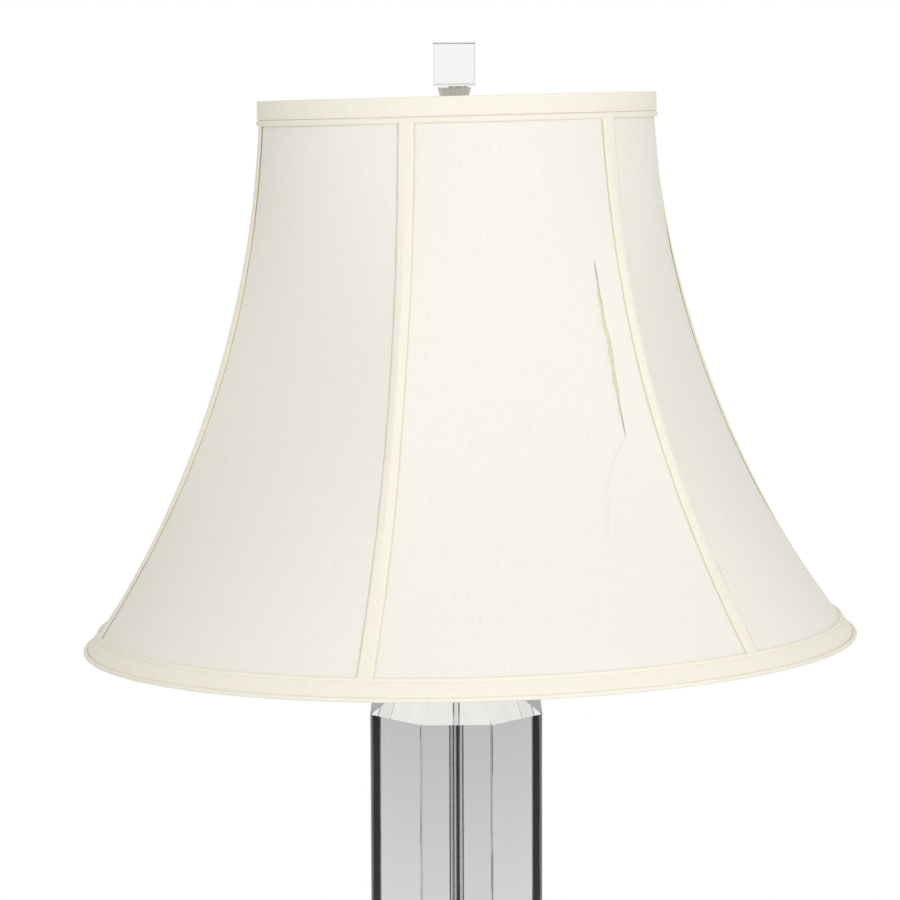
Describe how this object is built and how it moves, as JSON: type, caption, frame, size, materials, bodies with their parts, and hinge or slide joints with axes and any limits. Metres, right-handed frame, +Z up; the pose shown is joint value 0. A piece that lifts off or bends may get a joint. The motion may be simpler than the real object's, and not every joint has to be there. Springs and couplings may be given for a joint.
{
  "type": "table lamp",
  "caption": "Table lamp with a bevelled octagonal crystal column, an ivory fabric bell shade on a harp and a crystal cube finial.",
  "frame": {"origin": "middle of the felt's underside, on the column's axis", "axes": "+Z up along the column, -Y to the front, +X to the right"},
  "size_m": [0.4561, 0.4557, 0.7621],
  "materials": {
    "crystal": "clear cut crystal, polished",
    "chrome": "polished chrome",
    "nickel": "satin nickel plate",
    "steel": "bright drawn steel",
    "aluminium": "pressed aluminium",
    "black_plastic": "black moulded plastic",
    "fibre": "brown insulating fibre",
    "frosted_glass": "white frosted glass",
    "shade_fabric": "ivory woven cloth, stretched",
    "trim_fabric": "cream bias tape and piping",
    "lining_fabric": "off-white lining cloth",
    "felt": "black felt"
  },
  "bodies": {
    "stand": {"felt_pad": "felt", "base_pan": "chrome", "cord_bushing": "black_plastic", "lock_washer": "steel", "lock_nut": "steel", "plinth": "crystal", "column_plate": "chrome", "column": "crystal", "column_cap": "chrome", "neck": "chrome", "lamp_pipe": "steel", "harp_saddle": "nickel", "harp_head": "nickel", "harp_wire_left": "nickel", "harp_wire_right": "nickel", "holder_cap": "nickel", "holder_shell": "nickel", "holder_liner": "fibre", "holder_core": "black_plastic", "screw_shell": "nickel", "centre_contact": "nickel"},
    "shade": {"spider_hub": "steel", "spider_arm_1": "steel", "spider_arm_2": "steel", "spider_arm_3": "steel", "top_ring": "steel", "bottom_ring": "steel", "rib_wire_1": "steel", "rib_wire_2": "steel", "rib_wire_3": "steel", "rib_wire_4": "steel", "rib_wire_5": "steel", "rib_wire_6": "steel", "panel_1": "shade_fabric", "panel_2": "shade_fabric", "panel_3": "shade_fabric", "panel_4": "shade_fabric", "panel_5": "shade_fabric", "panel_6": "shade_fabric", "rib_tape_1": "trim_fabric", "rib_tape_2": "trim_fabric", "rib_tape_3": "trim_fabric", "rib_tape_4": "trim_fabric", "rib_tape_5": "trim_fabric", "rib_tape_6": "trim_fabric", "lining": "lining_fabric", "top_trim": "trim_fabric", "top_welt": "trim_fabric", "bottom_trim": "trim_fabric", "upper_welt": "trim_fabric", "lower_welt": "trim_fabric"},
    "finial": {"finial_cup": "chrome", "finial_cube": "crystal"},
    "left_ferrule": {"ferrule_left": "chrome"},
    "right_ferrule": {"ferrule_right": "chrome"},
    "switch": {"switch_shaft": "nickel", "switch_knob": "black_plastic"},
    "bulb": {"bulb_glass": "frosted_glass", "bulb_cap": "aluminium", "bulb_tip": "black_plastic"}
  },
  "joints": [
    {"name": "shade_turn", "type": "hinge", "parent": "stand", "child": "shade", "pos_m": [0, 0, 0.7193], "axis": [0, 0, 1], "continuous": true},
    {"name": "finial_turn", "type": "hinge", "parent": "stand", "child": "finial", "pos_m": [0, 0, 0.7251], "axis": [0, 0, 1], "continuous": true},
    {"name": "left_ferrule_slide", "type": "slide", "parent": "stand", "child": "left_ferrule", "axis": [0, 0, 1], "range_m": [0, 0.016]},
    {"name": "right_ferrule_slide", "type": "slide", "parent": "stand", "child": "right_ferrule", "axis": [0, 0, 1], "range_m": [0, 0.016]},
    {"name": "switch_turn", "type": "hinge", "parent": "stand", "child": "switch", "pos_m": [0, -0.0125, 0.4398], "axis": [0, -1, 0], "continuous": true},
    {"name": "bulb_turn", "type": "hinge", "parent": "stand", "child": "bulb", "pos_m": [0, 0, 0.46], "axis": [0, 0, 1], "continuous": true}
  ]
}
